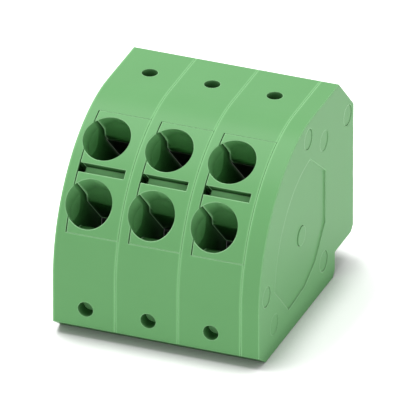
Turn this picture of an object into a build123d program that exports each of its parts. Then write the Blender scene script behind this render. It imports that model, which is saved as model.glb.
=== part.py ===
from build123d import *
from math import atan2, cos, degrees, radians, sin, tan
import os

# Pluggable spring-clamp connector: moulded slices stacked along X, closed by an end plate.
# X runs along the row of poles, Y from the wire side to the mating side, Z up.
# The origin is under the middle of the block, on the surface it stands on.

# Row of poles
pole_count = 3
pitch = 5.08
plate_thickness = 1.5

# Side profile, measured from the front face (y) and the underside (z)
depth = 20.0
height = 16.1
crown_radius = 11.35
rear_bevel_run = 3.12
rear_bevel_drop = 3.17
step_height = 2.0
step_length = 3.9
toe_length = 1.4
toe_height = 0.98
corner_cut = 0.45

# Shallow flutes across the upper rear wall, counted down from the rear bevel
flute_count = 3
flute_pitch = 2.22
flute_radius = 1.9
flute_depth = 0.08
flute_drop = 1.59

# Slice moulding
wall = 0.8
rim = 1.0
rail = 0.5
rail_length = 4.0
edge_chamfer = 0.03
fit_gap = 0.03
side_gap = 0.05
seam_gap = 0.09

# Wire entries, set out along the 45 degree wire direction
wire_angle = 45
entry_radius = 1.87
entry_offset = 2.635
entry_shift = 0.24
scallop_depth = 3.1
scallop_tip = 1.4
funnel_straight = 2.07
funnel_length = 1.3
funnel_draft = 0.05
channel_lead = 0.83
channel_half = 0.97
channel_gap = 0.15
window_margin = 0.415
window_gap = 0.01
flange_catch = 0.22
flange_depth = 3.4
partition_thickness = 0.5
partition_gap = 0.25

# Screwdriver slot and release plunger
slot_half = 0.375
slot_web = 0.5
blade_reveal = 0.24
blade_recess = 0.87
blade_shoulder = 2.2
blade_to_post = 1.0
track_start = 0.2
track_depth = 0.3
yoke_width = 0.7
yoke_thickness = 0.9
yoke_gap = 0.1
prong_start = 0.27
prong_width = 0.8
prong_gap = 0.1
release_travel = 0.8

# Clamping springs, bent from strip
strip = 0.3
spring_inset = 0.25
strip_margin = 0.58
post_half = 0.83
post_lead = 0.8
bend_radius = 0.5
bend_setback = 4.0
leg_angle = 40
leg_gap = 0.05
leg_room = 0.5

# Current bar, a folded trough that both wires are pressed against
bar_thickness = 0.5
bar_inset = 0.1
bar_corner = 0.8
cradle_gap = 0.4
tail_width = 1.6
tail_offset = 2.3
tail_run = 2.3

# Female contact behind the rear opening
pin_size = 1.0
pin_hole_radius = 0.85
contact_width = 2.0
contact_strip = 0.3
contact_half = 1.1
mouth_flare = 0.7
mouth_gap = 0.27
cradle_thickness = 0.7

# Test probe openings
probe_radius = 0.62
probe_shift = 0.12
probe_top_y = 13.45
probe_front_z = 2.5

# Round pins that join the slices, gripped by hexagonal sockets in the neighbour's side wall.
# Each is set across (y) and up (z) from the nearest edge of the profile.
peg_radius = 0.83
peg_depth = 0.5
socket_sides = 6
top_peg = (10.35, 1.45)
front_peg = (1.6, 0.8)
rear_peg = (1.27, 0.41)
foot_peg = (2.41, 2.45)

# Outer side of the end plate: shallow relief about the crown's centre, two moulding marks
relief_depth = 0.1
relief_radius = 8.0
relief_arc_start = 94
relief_arc_span = 84
relief_corners = [(2.65, 5.4), (2.65, 0.95), (0.6, -1.35), (-1.6, -2.4), (-5.1, -2.7)]
top_mark = (13.69, 3.25)
toe_mark = (3.2, 2.35)
mark_depth = 0.04

# Derived sizes of the row and the profile
width = pole_count * pitch + plate_thickness
left = -width / 2
front = -depth / 2
crown_z = height - crown_radius
reach = crown_radius * sin(radians(wire_angle))
arch_y = crown_radius - reach
arch_z = crown_z + reach
pole_x = pitch / 2
bevel_z = height - rear_bevel_drop

# Derived sizes of the wire side
guide_left = wall + seam_gap
entry_x = pole_x - entry_shift
probe_x = pole_x + probe_shift
strip_right = pitch - strip_margin
yoke_left = strip_right - yoke_width
channel_right = yoke_left - channel_gap
slot_right = pitch - slot_web
blade_left = guide_left + blade_reveal
window_half = entry_offset + entry_radius + window_margin
funnel_end = funnel_straight + funnel_length
guide_depth = funnel_end + channel_lead

# Derived sizes of the springs, the plunger and the current bar
bend_depth = guide_depth + bend_setback
partition_end = bend_depth - bend_radius - strip / 2 - partition_gap
post_start = bend_depth - post_lead
blade_end = post_start - release_travel - blade_to_post
track_end = blade_end + release_travel + side_gap
seat_n = post_half + strip / 2
bend_n = seat_n + bend_radius
prong_inner = bend_n + prong_start
prong_outer = prong_inner + prong_width
bar_inner = entry_offset + channel_half
bar_outer = bar_inner + bar_thickness
leg_s = bend_depth - bend_radius * sin(radians(leg_angle))
leg_n = bend_n + bend_radius * cos(radians(leg_angle))
tip_n = bar_inner - leg_gap - strip / 2
tip_s = leg_s + (tip_n - leg_n) / tan(radians(leg_angle))
bar_start = guide_depth + yoke_gap
bar_base = tip_s + leg_room
bar_end = bar_base + bar_thickness
tail_s = bar_base + bar_thickness / 2
cradle_half = tail_offset - cradle_gap

# Derived places (y, z) of the contact, the pins and the marks
tail_y = arch_y + (tail_s + tail_offset) * cos(radians(wire_angle))
pin_height = arch_z + (tail_offset - tail_s) * sin(radians(wire_angle))
contact_start = tail_y + tail_run
contact_mouth = depth - rim - mouth_gap
contact_throat = contact_mouth - mouth_flare
post_peg_s = post_start + post_half
post_peg = (
    arch_y + post_peg_s * cos(radians(wire_angle)),
    arch_z - post_peg_s * sin(radians(wire_angle)),
)
peg_places = [
    (top_peg[0], height - top_peg[1]),
    (front_peg[0], crown_z + front_peg[1]),
    (depth - rear_peg[0], bevel_z - rear_peg[1]),
    (depth - step_length - foot_peg[0], foot_peg[1]),
    post_peg,
]
mark_places = [(top_mark[0], height - top_mark[1]), toe_mark]


def side_plane(x):
    """Section across the row at x: local x is y from the front face, local y is z."""
    return Plane(origin=(left + x, front, 0), x_dir=(0, 1, 0), z_dir=(1, 0, 0))


def wire_plane(x):
    """Section across the row at x, along the wires: local x is depth, local y is offset."""
    along = (0, cos(radians(wire_angle)), -sin(radians(wire_angle)))
    return Plane(origin=(left + x, front + arch_y, arch_z), x_dir=along, z_dir=(1, 0, 0))


def entry_plane(x, offset_n, depth_in):
    """Plane square to a wire's path, its normal pointing inwards along the path."""
    section = wire_plane(x)
    return Plane(
        origin=section.from_local_coords((depth_in, offset_n, 0)),
        x_dir=(1, 0, 0),
        z_dir=section.x_dir,
    )


def case_face(inset=0.0):
    """Slice outline: straight toe, quarter-round front, flat crown, stepped rear."""
    with BuildSketch() as face:
        with BuildLine():
            Polyline(
                (0, crown_z),
                (0, toe_height),
                (toe_length, 0),
                (depth - step_length, 0),
                (depth - step_length, step_height),
                (depth, step_height),
                (depth, bevel_z),
                (depth - rear_bevel_run, height),
                (crown_radius, height),
            )
            CenterArc((crown_radius, crown_z), crown_radius, 90, 90)
        make_face()
        foot = face.vertices().group_by(Axis.Y)[0].sort_by(Axis.X)[-1]
        heel = face.vertices().group_by(Axis.X)[-1].sort_by(Axis.Y)[0]
        chamfer([foot, heel], corner_cut)
        if inset:
            offset(amount=-inset, kind=Kind.INTERSECTION, mode=Mode.REPLACE)
    return face.sketch


def make_slab(x, thickness):
    """Solid slab of the slice outline, edges broken on both sides, flutes across its rear."""
    with BuildPart() as slab:
        with BuildSketch(side_plane(x)):
            add(case_face())
        extrude(amount=thickness)
        for side in (0, -1):
            outline = slab.faces().sort_by(Axis.X)[side].outer_wire().edges()
            chamfer(outline, edge_chamfer)
        with BuildSketch(side_plane(x)):
            for flute in range(flute_count):
                flute_z = bevel_z - flute_drop - flute * flute_pitch
                with Locations((depth + flute_radius - flute_depth, flute_z)):
                    Circle(flute_radius)
        extrude(amount=thickness, mode=Mode.SUBTRACT)
    return slab.part


def draw_front(half, deep, radius):
    """The part of the round front between two offsets, down to a given depth."""
    with Locations((crown_radius, 0)):
        Circle(radius)
    with Locations((deep / 2 - rim, 0)):
        Rectangle(deep + 2 * rim, 2 * half, mode=Mode.INTERSECT)


def throat_tool(x0, offset_n):
    """Sloping throat of a wire entry, from the round mouth down to the square channel."""
    slope = degrees(atan2(entry_radius - channel_half, funnel_length))
    with BuildPart() as throat:
        with BuildSketch(entry_plane(x0 + channel_right / 2, offset_n, funnel_end)):
            Rectangle(channel_right, 2 * channel_half)
        extrude(amount=-(funnel_length + rim), taper=-slope)
        with Locations(entry_plane(x0 + entry_x, offset_n, funnel_straight)):
            Cone(
                entry_radius,
                entry_radius - funnel_draft,
                funnel_length,
                align=(Align.CENTER, Align.CENTER, Align.MIN),
                mode=Mode.INTERSECT,
            )
    return throat.part


def make_housing(number):
    """One moulded slice: side wall, rim, seats for the metal parts, pins to its neighbour."""
    x0 = (number - 1) * pitch
    last = number == pole_count
    peg_length = plate_thickness - mark_depth if last else peg_depth
    with BuildPart() as housing:
        add(make_slab(x0, pitch))
        with BuildSketch(side_plane(x0 + wall)):
            add(case_face(rim))
        extrude(amount=pitch, mode=Mode.SUBTRACT)
        # Front window that the wire guide fills
        with BuildSketch(wire_plane(x0 + wall)):
            draw_front(window_half, guide_depth, crown_radius + rim)
        extrude(amount=pitch, mode=Mode.SUBTRACT)
        # Rails outside the current bar, a cradle behind it, a post between the springs
        with BuildSketch(wire_plane(x0 + wall / 2)):
            for side in (1, -1):
                rail_n = side * (bar_outer + fit_gap + rail / 2)
                with Locations((bar_start + rail_length / 2, rail_n)):
                    Rectangle(rail_length, rail)
            with Locations((bar_end + fit_gap + rim / 2, 0)):
                Rectangle(rim, 2 * cradle_half)
            post_end = bar_base - fit_gap
            with Locations(((post_peg_s + post_end) / 2, 0)):
                Rectangle(post_end - post_peg_s, 2 * post_half)
            with Locations((post_peg_s, 0)):
                Circle(post_half)
        extrude(amount=strip_right - wall / 2)
        # Cradle of the female contact
        with BuildSketch(side_plane(x0 + wall / 2)):
            cradle_end = depth - rim / 2
            for side in (1, -1):
                cradle_z = pin_height + side * (contact_half + fit_gap + cradle_thickness / 2)
                with Locations(((contact_start + cradle_end) / 2, cradle_z)):
                    Rectangle(cradle_end - contact_start, cradle_thickness)
        extrude(amount=strip_right - wall / 2)
        # Pins through the slice into its neighbour, and blind sockets for the pins before it
        with BuildSketch(side_plane(x0 + wall / 2)):
            with Locations(*peg_places):
                Circle(peg_radius - fit_gap)
        extrude(amount=pitch - wall / 2 + peg_length)
        with BuildSketch(side_plane(x0)):
            with Locations(*peg_places):
                RegularPolygon(peg_radius, socket_sides, major_radius=False)
        extrude(amount=peg_depth + fit_gap, mode=Mode.SUBTRACT)
        # Scallops that the wire entries leave in the side wall, narrowing at their inner end
        for side in (1, -1):
            with Locations(entry_plane(x0 + entry_x, side * entry_offset, -rim)):
                Cylinder(
                    entry_radius,
                    rim + funnel_straight,
                    align=(Align.CENTER, Align.CENTER, Align.MIN),
                    mode=Mode.SUBTRACT,
                )
            with Locations(entry_plane(x0 + entry_x, side * entry_offset, funnel_straight)):
                Cone(
                    entry_radius,
                    scallop_tip,
                    scallop_depth - funnel_straight,
                    align=(Align.CENTER, Align.CENTER, Align.MIN),
                    mode=Mode.SUBTRACT,
                )
        # Track in the side wall for the left edge of the plunger, closed at its outer end
        with BuildSketch(wire_plane(x0 + wall - track_depth)):
            with Locations(((track_start + track_end) / 2, 0)):
                Rectangle(track_end - track_start, 2 * slot_half)
        extrude(amount=track_depth, mode=Mode.SUBTRACT)
        # Probe openings on the crown and low on the front, pin opening in the rear wall
        probe_place = left + x0 + probe_x
        with BuildSketch(Plane(origin=(probe_place, front + probe_top_y, height), z_dir=(0, 0, -1))):
            Circle(probe_radius)
        extrude(amount=rim + fit_gap, mode=Mode.SUBTRACT)
        with BuildSketch(Plane(origin=(probe_place, front, probe_front_z), z_dir=(0, 1, 0))):
            Circle(probe_radius)
        extrude(amount=rim + fit_gap, mode=Mode.SUBTRACT)
        with BuildSketch(Plane(origin=(left + x0 + pole_x, -front, pin_height), z_dir=(0, -1, 0))):
            Circle(pin_hole_radius)
        extrude(amount=rim + fit_gap, mode=Mode.SUBTRACT)
    return housing.part


def make_guide(number):
    """Front insert of a pole: two wire entries with the screwdriver slot between them."""
    x0 = (number - 1) * pitch
    guide_width = pitch - fit_gap - guide_left
    with BuildPart() as guide:
        with BuildSketch(wire_plane(x0 + guide_left)):
            draw_front(window_half - window_gap, guide_depth, crown_radius)
        extrude(amount=guide_width)
        right_side = guide.faces().sort_by(Axis.X)[-1]
        chamfer(right_side.edges().filter_by(GeomType.CIRCLE), edge_chamfer)
        with BuildSketch(wire_plane(x0 + guide_left)):
            draw_front(window_half + flange_catch, flange_depth, crown_radius - rim - side_gap)
        extrude(amount=guide_width)
        # Partitions that carry the channels on towards the springs
        with BuildSketch(wire_plane(x0 + guide_left)):
            partition_start = guide_depth - rim
            for side in (1, -1):
                partition_n = side * (entry_offset - channel_half - partition_thickness / 2)
                with Locations(((partition_start + partition_end) / 2, partition_n)):
                    Rectangle(partition_end - partition_start, partition_thickness)
        extrude(amount=channel_right - guide_left)
        # Each entry: round mouth, sloping throat, square channel
        for side in (1, -1):
            with Locations(entry_plane(x0 + entry_x, side * entry_offset, -rim)):
                Cylinder(
                    entry_radius,
                    rim + funnel_straight,
                    align=(Align.CENTER, Align.CENTER, Align.MIN),
                    mode=Mode.SUBTRACT,
                )
            add(throat_tool(x0, side * entry_offset), mode=Mode.SUBTRACT)
            with BuildSketch(entry_plane(x0 + channel_right / 2, side * entry_offset, funnel_straight)):
                Rectangle(channel_right, 2 * channel_half)
            extrude(amount=guide_depth - funnel_straight + rim, mode=Mode.SUBTRACT)
        with BuildSketch(wire_plane(x0 + wall)):
            with Locations((guide_depth / 2, 0)):
                Rectangle(guide_depth + 2 * rim, 2 * slot_half)
        extrude(amount=slot_right - wall, mode=Mode.SUBTRACT)
    return guide.part


def leg_depth(offset_n):
    """Depth of the clamping leg's wire side at an offset from the middle plane."""
    angle = radians(leg_angle)
    start_s = leg_s - strip / 2 * sin(angle)
    start_n = leg_n + strip / 2 * cos(angle)
    return start_s + (offset_n - start_n) / tan(angle)


def make_plunger(number):
    """Release plunger: a blade in the slot, and a forked yoke that opens both springs."""
    x0 = (number - 1) * pitch
    half = slot_half - fit_gap
    yoke_start = guide_depth + yoke_gap
    yoke_end = yoke_start + yoke_thickness
    with BuildPart() as plunger:
        with BuildSketch(wire_plane(x0 + blade_left)):
            with Locations(((blade_recess + blade_end) / 2, 0)):
                Rectangle(blade_end - blade_recess, 2 * half)
        extrude(amount=slot_right - side_gap - blade_left)
        with BuildSketch(wire_plane(x0 + wall - track_depth + side_gap)):
            with Locations(((blade_shoulder + blade_end) / 2, 0)):
                Rectangle(blade_end - blade_shoulder, 2 * half)
        extrude(amount=blade_left - wall + track_depth)
        with BuildSketch(wire_plane(x0 + yoke_left)):
            for side in (1, -1):
                with BuildLine():
                    Polyline(
                        (yoke_start, 0),
                        (yoke_start, side * prong_outer),
                        (leg_depth(prong_outer) - prong_gap, side * prong_outer),
                        (leg_depth(prong_inner) - prong_gap, side * prong_inner),
                        (yoke_end, side * prong_inner),
                        (yoke_end, 0),
                        close=True,
                    )
                make_face()
        extrude(amount=yoke_width)
    return plunger.part


def make_spring(number, side):
    """Clamping spring: one leg held on the post, one leg sprung against the current bar."""
    x0 = (number - 1) * pitch
    with BuildPart() as spring:
        with BuildSketch(wire_plane(x0 + wall + spring_inset)):
            with BuildLine() as centre:
                Line((bar_base - side_gap, side * seat_n), (bend_depth, side * seat_n))
                ThreePointArc(
                    (bend_depth, side * seat_n),
                    (bend_depth - bend_radius, side * bend_n),
                    (leg_s, side * leg_n),
                )
                Line((leg_s, side * leg_n), (tip_s, side * tip_n))
            trace(centre.edges(), line_width=strip)
        extrude(amount=strip_right - wall - spring_inset)
    return spring.part


def make_bar(number):
    """Current bar: two arms that the wires bear on, a base, and a tail to the contact."""
    x0 = (number - 1) * pitch
    with BuildPart() as bar:
        with BuildSketch(wire_plane(x0 + wall + bar_inset)) as section:
            with Locations((bar_end / 2, 0)):
                Rectangle(bar_end, 2 * bar_outer)
            fillet(section.vertices().group_by(Axis.X)[-1], bar_corner + bar_thickness)
            with Locations(((bar_start + bar_base) / 2 - rim, 0)):
                RectangleRounded(
                    bar_base - bar_start + 2 * rim, 2 * bar_inner, bar_corner, mode=Mode.SUBTRACT
                )
            with Locations((bar_start / 2, 0)):
                Rectangle(bar_start, 2 * bar_outer, mode=Mode.SUBTRACT)
        extrude(amount=strip_right - wall - bar_inset)
        with BuildSketch(side_plane(x0 + pole_x - tail_width / 2)):
            with Locations((tail_y + tail_run / 2, pin_height)):
                Rectangle(tail_run, bar_thickness)
        extrude(amount=tail_width)
    return bar.part


def make_contact(number):
    """Female contact: a base plate with two leaves that grip the mating pin."""
    x0 = (number - 1) * pitch
    base_y = contact_start + contact_strip / 2
    root_z = contact_half - contact_strip
    grip_z = pin_size / 2 + contact_strip / 2 - side_gap
    with BuildPart() as contact:
        with BuildSketch(side_plane(x0 + pole_x - contact_width / 2)):
            with Locations((base_y, pin_height)):
                Rectangle(contact_strip, 2 * contact_half)
            for side in (1, -1):
                with BuildLine() as leaf:
                    FilletPolyline(
                        (base_y, pin_height + side * root_z),
                        (contact_throat, pin_height + side * grip_z),
                        (contact_mouth, pin_height + side * root_z),
                        radius=contact_strip,
                    )
                trace(leaf.edges(), line_width=contact_strip)
        extrude(amount=contact_width)
    return contact.part


def make_end_plate():
    """End plate that closes the last slice, with a shallow relief on its outer side."""
    x0 = pole_count * pitch
    outer_x = x0 + plate_thickness
    with BuildPart() as plate:
        add(make_slab(x0, plate_thickness))
        with BuildSketch(side_plane(outer_x)):
            with BuildLine():
                round_side = CenterArc(
                    (crown_radius, crown_z), relief_radius, relief_arc_start, relief_arc_span
                )
                corners = [(crown_radius + y, crown_z + z) for y, z in relief_corners]
                Polyline(round_side @ 0, *corners, round_side @ 1)
            make_face()
        extrude(amount=-relief_depth, mode=Mode.SUBTRACT)
        with BuildSketch(side_plane(outer_x)):
            with Locations(*peg_places):
                Circle(peg_radius)
        extrude(amount=-plate_thickness, mode=Mode.SUBTRACT)
        with BuildSketch(side_plane(outer_x)):
            with Locations(*mark_places):
                Circle(peg_radius)
        extrude(amount=-mark_depth, mode=Mode.SUBTRACT)
    return plate.part


def save(part, name):
    """Label a finished piece and write it to its own file."""
    part.label = name
    export_step(part, f"parts/{name}.step")


os.makedirs("parts", exist_ok=True)
for number in range(1, pole_count + 1):
    save(make_housing(number), f"pole_housing_{number}")
    save(make_guide(number), f"wire_guide_{number}")
    save(make_plunger(number), f"release_plunger_{number}")
    save(make_spring(number, 1), f"clamp_spring_upper_{number}")
    save(make_spring(number, -1), f"clamp_spring_lower_{number}")
    save(make_bar(number), f"current_bar_{number}")
    save(make_contact(number), f"socket_contact_{number}")
save(make_end_plate(), "end_plate")
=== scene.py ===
import math
import bmesh
import bpy
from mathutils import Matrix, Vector


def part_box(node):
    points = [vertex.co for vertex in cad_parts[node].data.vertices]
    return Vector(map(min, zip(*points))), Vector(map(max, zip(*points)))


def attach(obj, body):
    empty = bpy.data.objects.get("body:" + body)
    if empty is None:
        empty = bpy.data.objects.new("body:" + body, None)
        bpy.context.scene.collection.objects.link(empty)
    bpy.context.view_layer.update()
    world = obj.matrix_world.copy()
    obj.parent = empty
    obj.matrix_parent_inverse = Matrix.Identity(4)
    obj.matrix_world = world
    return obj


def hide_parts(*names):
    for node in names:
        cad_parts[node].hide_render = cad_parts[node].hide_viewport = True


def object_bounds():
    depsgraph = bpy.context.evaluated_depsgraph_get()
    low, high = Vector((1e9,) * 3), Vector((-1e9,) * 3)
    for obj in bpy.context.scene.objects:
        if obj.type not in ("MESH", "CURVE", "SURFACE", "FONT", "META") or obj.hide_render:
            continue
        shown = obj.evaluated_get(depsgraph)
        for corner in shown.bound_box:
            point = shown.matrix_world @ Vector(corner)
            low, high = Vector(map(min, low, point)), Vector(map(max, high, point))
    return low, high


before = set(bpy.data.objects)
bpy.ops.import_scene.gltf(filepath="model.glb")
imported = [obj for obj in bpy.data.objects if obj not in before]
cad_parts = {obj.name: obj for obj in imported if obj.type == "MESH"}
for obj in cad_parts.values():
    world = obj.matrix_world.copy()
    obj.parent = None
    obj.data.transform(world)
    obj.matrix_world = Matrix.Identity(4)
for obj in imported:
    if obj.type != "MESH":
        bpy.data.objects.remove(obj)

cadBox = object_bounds()

# lengths below are in millimetres unless the name says otherwise
mm = 0.001
mergeMetres = 1e-7        # vertices this close count as one

row = {
    'poles': 3,
    'pitch': 5.08,
    'crownRadius': 11.35,     # the round front touches the front and the top of the CAD's box
}

white = (1, 1, 1)
black = (0, 0, 0)


# camera

view = {
    'azimuth': 21.2,          # degrees round from the front, towards the end plate
    'elevation': 28.6,
    'target': (0.04, -0.01, 7.64),
    'distance': 1450.0,
    'frameWidth': 30.96,      # what the square picture takes in at the target
    'sensor': 36.0,
    'nearest': 10.0,          # anything closer to the camera isn't drawn
}


def makeCamera():
    cameraData = bpy.data.cameras.new('camera')
    cameraData.sensor_width = view['sensor']
    cameraData.lens = view['sensor'] * view['distance'] / view['frameWidth']
    cameraData.clip_start = view['nearest'] * mm
    camera = bpy.data.objects.new('camera', cameraData)
    bpy.context.collection.objects.link(camera)
    around = math.radians(view['azimuth'])
    up = math.radians(view['elevation'])
    outward = Vector((math.sin(around) * math.cos(up), -math.cos(around) * math.cos(up), math.sin(up)))
    target = Vector(view['target']) * mm
    camera.location = target + outward * view['distance'] * mm
    camera.rotation_euler = outward.to_track_quat('Z', 'Y').to_euler()
    bpy.context.scene.camera = camera
    print('camera placed')


# nodes

def feed(tree, node, inputs):
    # gives each input its link, its colour or its number
    for name, value in inputs.items():
        socket = node.inputs[name]
        if isinstance(value, bpy.types.NodeSocket):
            tree.links.new(value, socket)
        elif socket.type == 'RGBA':
            socket.default_value = (*value, 1)
        else:
            socket.default_value = value


def addNode(tree, kind, place, inputs=None, **values):
    node = tree.nodes.new(kind)
    node.location = place
    for name, value in values.items():
        setattr(node, name, value)
    feed(tree, node, inputs or {})
    return node


def calculate(tree, operation, place, *terms, **values):
    node = addNode(tree, 'ShaderNodeMath', place, dict(enumerate(terms)), operation=operation, **values)
    return node.outputs[0]


def spread(tree, place, value, given, wanted, **values):
    # a value moved from one range over to another
    inputs = {'Value': value, 'From Min': given[0], 'From Max': given[1],
              'To Min': wanted[0], 'To Max': wanted[1]}
    return addNode(tree, 'ShaderNodeMapRange', place, inputs, **values).outputs['Result']


def blend(tree, place, factor, first, second):
    # a colour between two others
    inputs = {'Factor': factor, 'A': first, 'B': second}
    return addNode(tree, 'ShaderNodeMix', place, inputs, data_type='RGBA').outputs['Result']


# light, floor and background

studio = {
    'roomStrength': 0.5,           # what the room gives by diffuse light
    'floorSize': 2000.0,
    'floorColour': (0.95, 0.95, 0.95),
    'floorLift': 0.55,             # light the open floor adds in the camera's view, so that it ends white
    'shadowReach': 4.0,            # the floor keeps its shadow this close to the object, where the fading lift paints a contact shadow over the real one
    'shadowFade': (0.45, 0.95),    # how open the floor is where the lift starts and where it is full
    'shadowSamples': 16,
}

softboxes = {
    'overhead': {'place': (-216.0, 84.0, 600.0), 'size': (170.0, 520.0), 'glow': 10.7, 'aimed': False},
    'sideFill': {'place': (1020.0, -620.0, 190.0), 'size': (500.0, 300.0), 'glow': 5.1, 'aimed': True},
}


def addSeenMask(tree):
    # 1 where the background is seen directly, in a reflection or through glass
    path = addNode(tree, 'ShaderNodeLightPath', (-1000, 0)).outputs
    direct = calculate(tree, 'MAXIMUM', (-800, 100), path['Is Camera Ray'], path['Is Glossy Ray'])
    return calculate(tree, 'MAXIMUM', (-600, 0), direct, path['Is Transmission Ray'])


def makeWorld():
    world = bpy.data.worlds.new('studio')
    bpy.context.scene.world = world
    world.use_nodes = True
    tree = world.node_tree
    tree.nodes.clear()
    seen = addSeenMask(tree)
    room = addNode(tree, 'ShaderNodeBackground', (-200, 100),
                   {'Color': white, 'Strength': studio['roomStrength']})
    paper = addNode(tree, 'ShaderNodeBackground', (-200, -100), {'Color': white})
    mix = addNode(tree, 'ShaderNodeMixShader', (0, 0), {0: seen, 1: room.outputs[0], 2: paper.outputs[0]})
    addNode(tree, 'ShaderNodeOutputWorld', (200, 0), {'Surface': mix.outputs[0]})


def makeSoftbox(name):
    values = softboxes[name]
    lampData = bpy.data.lights.new(name, 'AREA')
    lampData.shape = 'RECTANGLE'
    lampData.size = values['size'][0] * mm
    lampData.size_y = values['size'][1] * mm
    lampData.energy = values['glow'] * math.pi * lampData.size * lampData.size_y
    lamp = bpy.data.objects.new(name, lampData)
    bpy.context.collection.objects.link(lamp)
    lamp.location = Vector(values['place']) * mm
    if values['aimed']:
        lamp.rotation_euler = lamp.location.to_track_quat('Z', 'Y').to_euler()


def makeFloor():
    bpy.ops.mesh.primitive_plane_add(size=studio['floorSize'] * mm)
    floor = bpy.context.object
    floor.name = 'floor'
    material = bpy.data.materials.new('floorPaper')
    material.use_nodes = True
    tree = material.node_tree
    tree.nodes.clear()
    seen = addSeenMask(tree)
    # painted shadow: the lift fades where the floor is occluded, a contact shadow painted by ambient
    # occlusion over the real shadow
    near = addNode(tree, 'ShaderNodeAmbientOcclusion', (-1000, -300),
                   {'Distance': studio['shadowReach'] * mm}, samples=studio['shadowSamples'])
    lift = spread(tree, (-700, -300), near.outputs['AO'], studio['shadowFade'], (0, studio['floorLift']),
                  interpolation_type='SMOOTHSTEP')
    paper = addNode(tree, 'ShaderNodeBsdfDiffuse', (-400, 0), {'Color': studio['floorColour']})
    glow = addNode(tree, 'ShaderNodeEmission', (-400, -200), {'Strength': lift})
    lit = addNode(tree, 'ShaderNodeAddShader', (-200, -100), {0: paper.outputs[0], 1: glow.outputs[0]})
    mix = addNode(tree, 'ShaderNodeMixShader', (0, 0), {0: seen, 1: paper.outputs[0], 2: lit.outputs[0]})
    addNode(tree, 'ShaderNodeOutputMaterial', (200, 0), {'Surface': mix.outputs[0]})
    floor.data.materials.append(material)


def makeStudio():
    makeWorld()
    for name in softboxes:
        makeSoftbox(name)
    makeFloor()
    bpy.context.scene.view_settings.view_transform = 'Standard'
    print('studio lit')


# effects that the materials share

effects = {
    'edgeRadius': 0.10,
    'edgeCosine': 0.8,             # between a face and its rounded normal, where the edge mask is 1
    'edgeSamples': 8,
    'seamReach': 0.20,
    'cavityReach': 3.0,
    'cavityDark': 0.22,            # how open the darkest depth is
    'cavityOpen': 0.72,            # and a surface that counts as open
    'cavitySamples': 12,
    'fineScale': 9000.0,           # both scales count per metre
    'fineDetail': 3.0,
    'slowScale': 260.0,
    'slowDetail': 2.0,
}


def makeGroup(name, inputs, outputs):
    # a group with its sockets; inputs come as label, kind and value
    group = bpy.data.node_groups.new(name, 'ShaderNodeTree')
    for label, kind, value in inputs:
        socket = group.interface.new_socket(label, in_out='INPUT', socket_type=f'NodeSocket{kind}')
        socket.default_value = value
    for label, kind in outputs:
        group.interface.new_socket(label, in_out='OUTPUT', socket_type=f'NodeSocket{kind}')
    return group, addNode(group, 'NodeGroupInput', (-1000, 0)).outputs


def makeEdgeGroup():
    # how close a point is to a sharp edge, and the normal of that edge rounded over
    group, given = makeGroup('edgeRound', [('Radius', 'Float', effects['edgeRadius'] * mm)],
                             [('Mask', 'Float'), ('Normal', 'Vector')])
    bevel = addNode(group, 'ShaderNodeBevel', (-700, 0), {'Radius': given['Radius']},
                    samples=effects['edgeSamples']).outputs['Normal']
    face = addNode(group, 'ShaderNodeNewGeometry', (-700, -250)).outputs['Normal']
    cosine = addNode(group, 'ShaderNodeVectorMath', (-450, -100), {0: bevel, 1: face},
                     operation='DOT_PRODUCT').outputs['Value']
    mask = spread(group, (-200, -100), cosine, (1, effects['edgeCosine']), (0, 1))
    addNode(group, 'NodeGroupOutput', (0, 0), {'Mask': mask, 'Normal': bevel})
    return group


def makeSeamGroup():
    # 1 on lines square to the row that lie a pitch apart, fading out to both sides
    group, given = makeGroup('seam', [('Vector', 'Vector', (0, 0, 0)), ('First', 'Float', 0.0),
                                      ('Pitch', 'Float', row['pitch'] * mm),
                                      ('Reach', 'Float', effects['seamReach'] * mm)],
                             [('Mask', 'Float')])
    split = addNode(group, 'ShaderNodeSeparateXYZ', (-800, 0), {'Vector': given['Vector']})
    shift = calculate(group, 'SUBTRACT', (-600, 0), split.outputs['X'], given['First'])
    half = calculate(group, 'MULTIPLY', (-600, -200), given['Pitch'], 0.5)
    fold = calculate(group, 'PINGPONG', (-400, 0), shift, half)
    mask = spread(group, (-200, 0), fold, (0, given['Reach']), (1, 0), interpolation_type='SMOOTHSTEP')
    addNode(group, 'NodeGroupOutput', (0, 0), {'Mask': mask})
    return group


def makeCavityGroup():
    # 1 on open surfaces, falling to 0 down in the openings; the materials paint shade into the openings by it
    group, given = makeGroup('cavity', [('Reach', 'Float', effects['cavityReach'] * mm),
                                        ('Dark', 'Float', effects['cavityDark']),
                                        ('Open', 'Float', effects['cavityOpen'])],
                             [('Mask', 'Float')])
    shade = addNode(group, 'ShaderNodeAmbientOcclusion', (-700, 0), {'Distance': given['Reach']},
                    samples=effects['cavitySamples'])
    mask = spread(group, (-400, 0), shade.outputs['AO'], (given['Dark'], given['Open']), (0, 1))
    addNode(group, 'NodeGroupOutput', (-200, 0), {'Mask': mask})
    return group


def makeGrainGroup():
    # fine uneven skin: a height for the bump, and a slow mask for colour and gloss
    group, given = makeGroup('grain', [('Vector', 'Vector', (0, 0, 0)),
                                       ('Fine', 'Float', effects['fineScale']),
                                       ('Slow', 'Float', effects['slowScale'])],
                             [('Height', 'Float'), ('Mask', 'Float')])
    fine = addNode(group, 'ShaderNodeTexNoise', (-600, 150),
                   {'Vector': given['Vector'], 'Scale': given['Fine'], 'Detail': effects['fineDetail']})
    slow = addNode(group, 'ShaderNodeTexNoise', (-600, -150),
                   {'Vector': given['Vector'], 'Scale': given['Slow'], 'Detail': effects['slowDetail']})
    addNode(group, 'NodeGroupOutput', (-300, 0),
            {'Height': fine.outputs['Fac'], 'Mask': slow.outputs['Fac']})
    return group


# plastics

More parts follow.
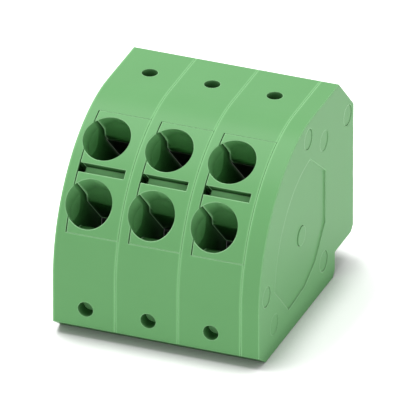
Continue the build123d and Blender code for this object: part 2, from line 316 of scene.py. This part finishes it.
casePlastic = {
    'colour': (0.188, 0.465, 0.187),
    'slowColour': (0.176, 0.440, 0.174),      # the slow grain runs from this to the colour
    # painted highlight: the rounded edges are painted lighter than the faces
    'edgeHighlightColour': (0.360, 0.720, 0.355),
    # painted highlight: a lighter band along the seams between the poles
    'seamHighlightColour': (0.290, 0.640, 0.285),
    # painted shade: the colour down in the openings, where light hardly reaches
    'cavityShadeColour': (0.055, 0.185, 0.054),
    # edges down in the openings: painted shade on the case, a painted highlight on the panel
    'cavityEdgeShadeAndHighlight': (0.055, 0.185, 0.054),
    'paintedGlowColour': black,                      # painted glow: emission on the edges down in an opening
    'cavityReach': 3.0,
    'roughness': (0.26, 0.34),
    'specular': 0.06,
    'edgeRadius': 0.16,
    'seamReach': 0.20,
    'bump': 0.05,
    'bumpDepth': 0.02,
}

# the insert's plastic: stronger painted edge highlights, and a painted glow on its edges down in the openings
panelPlastic = {
    **casePlastic,
    'edgeHighlightColour': (0.440, 0.820, 0.430),
    'cavityEdgeShadeAndHighlight': (0.400, 0.800, 0.390),
    'paintedGlowColour': (0.150, 0.360, 0.148),
}

# the end plate's edges get a stronger painted highlight
platePlastic = {**casePlastic, 'edgeHighlightColour': (0.480, 0.880, 0.470)}

# a copy of the case plastic painted lighter, as if lit, with no painted shade in its openings; used for the
# plungers and the probe seats
paintedLitPlastic = {
    **casePlastic,
    'colour': (0.390, 0.860, 0.385),
    'slowColour': (0.370, 0.820, 0.365),
    'edgeHighlightColour': (0.460, 0.860, 0.450),
    'seamHighlightColour': (0.390, 0.860, 0.385),
    'cavityShadeColour': (0.380, 0.840, 0.375),
}

# a painted highlight line, with a painted glow, on the left side of the insert's body: in the wire entries,
# not in the slot
paintedEdgeLine = {
    'reach': 0.17,
    'colour': (0.400, 0.780, 0.390),
    'glow': (0.130, 0.250, 0.128),
    'deepGlow': (0.035, 0.050, 0.035),        # the glow where the opening is darkest
    'openBand': 0.25,                         # the line fades out over this last share of openness
    'slotReach': (0.55, 0.75),                # from the slot's middle to no line, and to the full line
}


def newMaterial(name):
    material = bpy.data.materials.new(name)
    material.use_nodes = True
    return material, material.node_tree, material.node_tree.nodes['Principled BSDF']


def addEffect(tree, group, place, inputs=None):
    return addNode(tree, 'ShaderNodeGroup', place, inputs, node_tree=group).outputs


def addPaintedEdgeLine(tree, groups, place, cavity, colour, glow):
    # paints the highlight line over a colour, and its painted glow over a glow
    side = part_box('wire_guide_1')[0][0] + wirePanel['setBack'] * mm
    line = addEffect(tree, groups['seam'], (-1100, 900),
                     {'Vector': place, 'First': side, 'Pitch': row['pitch'] * mm,
                      'Reach': paintedEdgeLine['reach'] * mm})['Mask']
    # the slots lie in the 45 degree plane through the top front edge of the CAD's box
    diagonal = math.sqrt(0.5)
    slotMiddle = (cadBox[0][1] + cadBox[1][2]) * diagonal
    across = addNode(tree, 'ShaderNodeVectorMath', (-1100, 1200), {0: place, 1: (0, diagonal, diagonal)},
                     operation='DOT_PRODUCT').outputs['Value']
    offset = calculate(tree, 'SUBTRACT', (-900, 1200), across, slotMiddle)
    away = calculate(tree, 'ABSOLUTE', (-700, 1200), offset)
    near, far = paintedEdgeLine['slotReach']
    entry = spread(tree, (-500, 1200), away, (near * mm, far * mm), (0, 1))
    fade = 1 / paintedEdgeLine['openBand']
    inside = calculate(tree, 'MULTIPLY_ADD', (-700, 1000), cavity, -fade, fade, use_clamp=True)
    lit = calculate(tree, 'MULTIPLY', (-500, 1000), entry, inside)
    strip = calculate(tree, 'MULTIPLY', (-300, 1000), lit, line)
    depth = blend(tree, (-200, 1250), cavity, paintedEdgeLine['deepGlow'], paintedEdgeLine['glow'])
    painted = blend(tree, (0, 700), strip, colour, paintedEdgeLine['colour'])
    return painted, blend(tree, (0, 1000), strip, glow, depth)


def makePlastic(name, values, groups):
    material, tree, shader = newMaterial(name)
    place = addNode(tree, 'ShaderNodeTexCoord', (-1400, 0)).outputs['Object']
    grain = addEffect(tree, groups['grain'], (-1100, 0), {'Vector': place})
    edge = addEffect(tree, groups['edge'], (-1100, -300), {'Radius': values['edgeRadius'] * mm})
    cavity = addEffect(tree, groups['cavity'], (-1100, -500), {'Reach': values['cavityReach'] * mm})['Mask']
    seam = addEffect(tree, groups['seam'], (-1100, -700),
                     {'Vector': place, 'First': cadBox[0][0], 'Pitch': row['pitch'] * mm,
                      'Reach': values['seamReach'] * mm})['Mask']
    # the grain, the painted highlight of the seams over it, the painted shade of the openings over both, and
    # the painted edge highlights over all
    skin = blend(tree, (-850, 200), grain['Mask'], values['slowColour'], values['colour'])
    lined = blend(tree, (-650, 200), seam, skin, values['seamHighlightColour'])
    deep = blend(tree, (-450, 200), cavity, values['cavityShadeColour'], lined)
    # the deep edges take their painted shade or highlight, the open edges the painted highlight
    rim = blend(tree, (-450, 450), cavity, values['cavityEdgeShadeAndHighlight'], values['edgeHighlightColour'])
    colour = blend(tree, (-250, 200), edge['Mask'], deep, rim)
    # painted glow on the edges that lie deep in the openings
    deepEdge = spread(tree, (-450, 700), cavity, (0, 1), (edge['Mask'], 0))
    glow = blend(tree, (-250, 700), deepEdge, black, values['paintedGlowColour'])
    if values is panelPlastic:
        colour, glow = addPaintedEdgeLine(tree, groups, place, cavity, colour, glow)
    gloss = spread(tree, (-650, -50), grain['Mask'], (0, 1), values['roughness'])
    bump = addNode(tree, 'ShaderNodeBump', (-450, -300),
                   {'Strength': values['bump'], 'Distance': values['bumpDepth'] * mm,
                    'Height': grain['Height'], 'Normal': edge['Normal']})
    feed(tree, shader, {'Base Color': colour, 'Emission Color': glow, 'Emission Strength': 1,
                        'Specular IOR Level': values['specular'], 'Roughness': gloss,
                        'Normal': bump.outputs['Normal']})
    return material


# metals

# edgeHighlightColour paints the sides cut by the press lighter: a painted highlight
metals = {
    'springSteel': {
        'colour': (0.56, 0.56, 0.57),
        'edgeHighlightColour': (0.80, 0.80, 0.80),
        'roughness': (0.22, 0.38),
    },
    'tinnedCopper': {
        'colour': (0.62, 0.61, 0.58),
        'edgeHighlightColour': (0.90, 0.90, 0.88),
        'roughness': (0.30, 0.45),
    },
    'contactAlloy': {
        'colour': (0.70, 0.60, 0.40),
        'edgeHighlightColour': (0.88, 0.80, 0.62),
        'roughness': (0.25, 0.40),
    },
}

# the metals' grain and bumps, with a painted highlight and glow on the cut sides and painted shade in the
# openings
metalGrainAndPaintedLight = {
    'edgeRadius': 0.10,
    'sideLean': (0.15, 0.50),      # how far a normal points along the row where a cut side starts and is full
    'edgeMetallic': 0.25,          # the sides cut by the press are matt; their pale colour is a painted highlight
    'edgePaintedGlow': 0.10,              # and a painted glow, emission on the cut sides that shows down in the openings
    'slowShade': 0.8,
    'cavityShade': 0.15,
    'cavityReach': 3.0,
    'grainStretch': (0.08, 1, 1),
    'bump': 0.08,
    'bumpDepth': 0.01,
}


def darker(colour, share):
    return tuple(share * part for part in colour)


def makeMetal(name, groups):
    values = metals[name]
    material, tree, shader = newMaterial(name)
    place = addNode(tree, 'ShaderNodeTexCoord', (-1400, 0)).outputs['Object']
    stretch = addNode(tree, 'ShaderNodeMapping', (-1200, 0),
                      {'Vector': place, 'Scale': metalGrainAndPaintedLight['grainStretch']})
    grain = addEffect(tree, groups['grain'], (-1000, 0), {'Vector': stretch.outputs['Vector']})
    edge = addEffect(tree, groups['edge'], (-1000, -300), {'Radius': metalGrainAndPaintedLight['edgeRadius'] * mm})
    cavity = addEffect(tree, groups['cavity'], (-1000, -500),
                       {'Reach': metalGrainAndPaintedLight['cavityReach'] * mm})['Mask']
    lean = addNode(tree, 'ShaderNodeSeparateXYZ', (-800, -300), {'Vector': edge['Normal']}).outputs['X']
    sideways = calculate(tree, 'ABSOLUTE', (-650, -300), lean)
    side = spread(tree, (-500, -450), sideways, metalGrainAndPaintedLight['sideLean'], (0, 1))
    slow = darker(values['colour'], metalGrainAndPaintedLight['slowShade'])
    skin = blend(tree, (-700, 200), grain['Mask'], slow, values['colour'])
    # painted shade down in the openings
    deep = blend(tree, (-500, 200), cavity, darker(values['colour'], metalGrainAndPaintedLight['cavityShade']), skin)
    # the cut sides painted in the edge highlight colour
    colour = blend(tree, (-300, 200), side, deep, values['edgeHighlightColour'])
    # painted glow on the cut sides
    glow = blend(tree, (-300, 450), side, black, darker(values['edgeHighlightColour'], metalGrainAndPaintedLight['edgePaintedGlow']))
    metallic = spread(tree, (-300, 0), side, (0, 1), (1, metalGrainAndPaintedLight['edgeMetallic']))
    gloss = spread(tree, (-700, -50), grain['Height'], (0, 1), values['roughness'])
    bump = addNode(tree, 'ShaderNodeBump', (-450, -300),
                   {'Strength': metalGrainAndPaintedLight['bump'], 'Distance': metalGrainAndPaintedLight['bumpDepth'] * mm,
                    'Height': grain['Height'], 'Normal': edge['Normal']})
    feed(tree, shader, {'Base Color': colour, 'Emission Color': glow, 'Emission Strength': 1,
                        'Metallic': metallic, 'Roughness': gloss, 'Normal': bump.outputs['Normal']})
    return material


def dressNodes():
    groups = {'edge': makeEdgeGroup(), 'grain': makeGrainGroup(),
              'cavity': makeCavityGroup(), 'seam': makeSeamGroup()}
    case = makePlastic('casePlastic', casePlastic, groups)
    panel = makePlastic('panelPlastic', panelPlastic, groups)
    plunger = makePlastic('paintedLitPlastic', paintedLitPlastic, groups)
    plate = makePlastic('platePlastic', platePlastic, groups)
    finishes = {'clamp_spring': makeMetal('springSteel', groups),
                'current_bar': makeMetal('tinnedCopper', groups),
                'socket_contact': makeMetal('contactAlloy', groups),
                'release_plunger': plunger, 'end_plate': plate}
    for name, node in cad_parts.items():
        finish = next((finishes[key] for key in finishes if name.startswith(key)), case)
        for place in node.material_slots:
            place.material = finish
    print('nodes dressed')
    return case, panel, plunger


# pieces

newPiece = {
    'sharpAngle': 35.0,
    'crownFit': (0.05, 0.98),     # a face on the round front lies less deep and has a higher cosine to it
}


def outFromCrown(point):
    # from the axis of the round front to a point, square to that axis
    radius = row['crownRadius'] * mm
    return Vector((0, point[1] - (cadBox[0][1] + radius), point[2] - (cadBox[1][2] - radius)))


def isOnCrown(centre, normal, fit):
    outward = outFromCrown(centre)
    return outward.length > (row['crownRadius'] - fit[0]) * mm and outward.normalized().dot(normal) > fit[1]


def finishPiece(name, bm, material, body):
    # a new piece from its finished bmesh, smooth except at its sharp edges and true on the round front
    mesh = bpy.data.meshes.new(name)
    bm.to_mesh(mesh)
    bm.free()
    for face in mesh.polygons:
        face.use_smooth = True
    mesh.set_sharp_from_angle(angle=math.radians(newPiece['sharpAngle']))
    normals = [Vector((0, 0, 0))] * len(mesh.loops)
    for face in mesh.polygons:
        if isOnCrown(face.center, face.normal, newPiece['crownFit']):
            for loop in face.loop_indices:
                normals[loop] = outFromCrown(mesh.vertices[mesh.loops[loop].vertex_index].co).normalized()
    mesh.normals_split_custom_set(normals)
    mesh.materials.append(material)
    piece = bpy.data.objects.new(name, mesh)
    bpy.context.collection.objects.link(piece)
    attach(piece, body)
    return piece


def mergedCopy(node):
    # a CAD node's loose triangles as one skin
    copy = bmesh.new()
    copy.from_mesh(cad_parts[node].data)
    bmesh.ops.remove_doubles(copy, verts=copy.verts, dist=mergeMetres)
    return copy


def cutOff(bm, place, **side):
    # cuts square to the row and clears the inner or the outer side
    bmesh.ops.bisect_plane(bm, geom=bm.verts[:] + bm.edges[:] + bm.faces[:], dist=mergeMetres,
                           plane_co=place, plane_no=(1, 0, 0), **side)


wirePanel = {
    'lip': 0.06,             # skin of the panel that narrows the slit on its left
    'setBack': 0.14,         # the panel's body stands this far back from the edge of that skin
    'fit': 0.01,             # the body's right side moves out this far, to meet the housing
    'skinFit': (0.1, 0.9),   # the same test as crownFit, for the faces that the skin keeps
}


def makeWirePanel(number, material):
    # the front insert, with the slit beside it wider under its skin
    node = f'wire_guide_{number}'
    low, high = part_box(node)
    cut = Vector((low[0] + wirePanel['setBack'] * mm, 0, 0))

    panel = mergedCopy(node)
    for vert in panel.verts:
        if high[0] - vert.co.x < mergeMetres:
            vert.co.x += wirePanel['fit'] * mm
    cutOff(panel, cut, clear_inner=True)
    openEdges = [edge for edge in panel.edges if edge.is_boundary]
    ends = bmesh.ops.edgeloop_fill(panel, edges=openEdges)
    bmesh.ops.triangulate(panel, faces=ends['faces'], ngon_method='EAR_CLIP')

    lip = mergedCopy(node)
    cutOff(lip, cut, clear_outer=True)
    inner = []
    for face in lip.faces:
        if not isOnCrown(face.calc_center_median(), face.normal, wirePanel['skinFit']):
            inner.append(face)
    bmesh.ops.delete(lip, geom=inner, context='FACES')
    bmesh.ops.solidify(lip, geom=lip.faces[:], thickness=wirePanel['lip'] * mm)
    strip = bpy.data.meshes.new('lip')
    lip.to_mesh(strip)
    lip.free()
    panel.from_mesh(strip)
    bpy.data.meshes.remove(strip)

    piece = finishPiece(f'wirePanel_{number}', panel, material, 'housing')
    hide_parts(node)


probeSleeve = {
    'radius': 0.62,
    'wall': 0.2,
    'length': 1.5,
    'side': 0.12,             # to the right of the middle of the pole
    'top': (3.45, 15.12),     # y and z where the sleeve starts under each opening
    'front': (-9.02, 2.5),
    'sides': 32,
}


def probeMiddle(number):
    # where the test openings of a pole lie along the row
    return cadBox[0][0] / mm + (number - 0.5) * row['pitch'] + probeSleeve['side']


def standAt(place, direction):
    # turns a shape's z axis along a direction and puts it at a place
    turn = Vector(direction).to_track_quat('Z', 'Y').to_matrix().to_4x4()
    turn.translation = place * mm
    return turn


def makeProbeSleeves(number, material):
    # plastic sleeves that carry on the test openings behind the wall
    half = probeSleeve['length'] / 2
    radius = probeSleeve['radius'] * mm
    sleeves = bmesh.new()
    for start, inward in (('top', (0, 0, -1)), ('front', (0, 1, 0))):
        middle = Vector((probeMiddle(number), *probeSleeve[start])) + Vector(inward) * half
        bmesh.ops.create_cone(sleeves, cap_ends=False, segments=probeSleeve['sides'],
                              radius1=radius, radius2=radius, depth=probeSleeve['length'] * mm,
                              matrix=standAt(middle, inward))
    bmesh.ops.solidify(sleeves, geom=sleeves.faces[:], thickness=-probeSleeve['wall'] * mm)
    bmesh.ops.recalc_face_normals(sleeves, faces=sleeves.faces)
    finishPiece(f'probeSleeves_{number}', sleeves, material, 'housing')


probeSeat = {
    'radius': 0.70,
    'dish': 0.22,        # width of the flat ring round the dished middle
    'depth': 0.12,       # of the dish, whose slope is as wide as it is deep
    'behind': 0.03,      # from the start of the sleeve to the seat
}


def makeProbeSeat(number, material):
    # the dished stop that closes the front test opening behind the wall
    y, z = probeSleeve['front']
    place = Vector((probeMiddle(number), y + probeSeat['behind'], z))
    depth = probeSeat['depth'] * mm
    seat = bmesh.new()
    bmesh.ops.create_circle(seat, cap_ends=True, segments=probeSleeve['sides'],
                            radius=probeSeat['radius'] * mm, matrix=standAt(place, (0, -1, 0)))
    bmesh.ops.recalc_face_normals(seat, faces=seat.faces)
    bmesh.ops.inset_region(seat, faces=seat.faces[:], thickness=probeSeat['dish'] * mm, depth=0)
    middle = [face for face in seat.faces if len(face.verts) == probeSleeve['sides']]
    bmesh.ops.inset_region(seat, faces=middle, thickness=depth, depth=-depth)
    bmesh.ops.solidify(seat, geom=seat.faces[:], thickness=probeSleeve['wall'] * mm)
    finishPiece(f'probeSeat_{number}', seat, material, 'housing')


def makePieces(case, panel, light):
    for number in range(1, row['poles'] + 1):
        makeWirePanel(number, panel)
        makeProbeSleeves(number, case)
        # the seats are made in the painted-lit plastic
        makeProbeSeat(number, light)
    print('pieces made')


makeCamera()
makeStudio()
makePieces(*dressNodes())
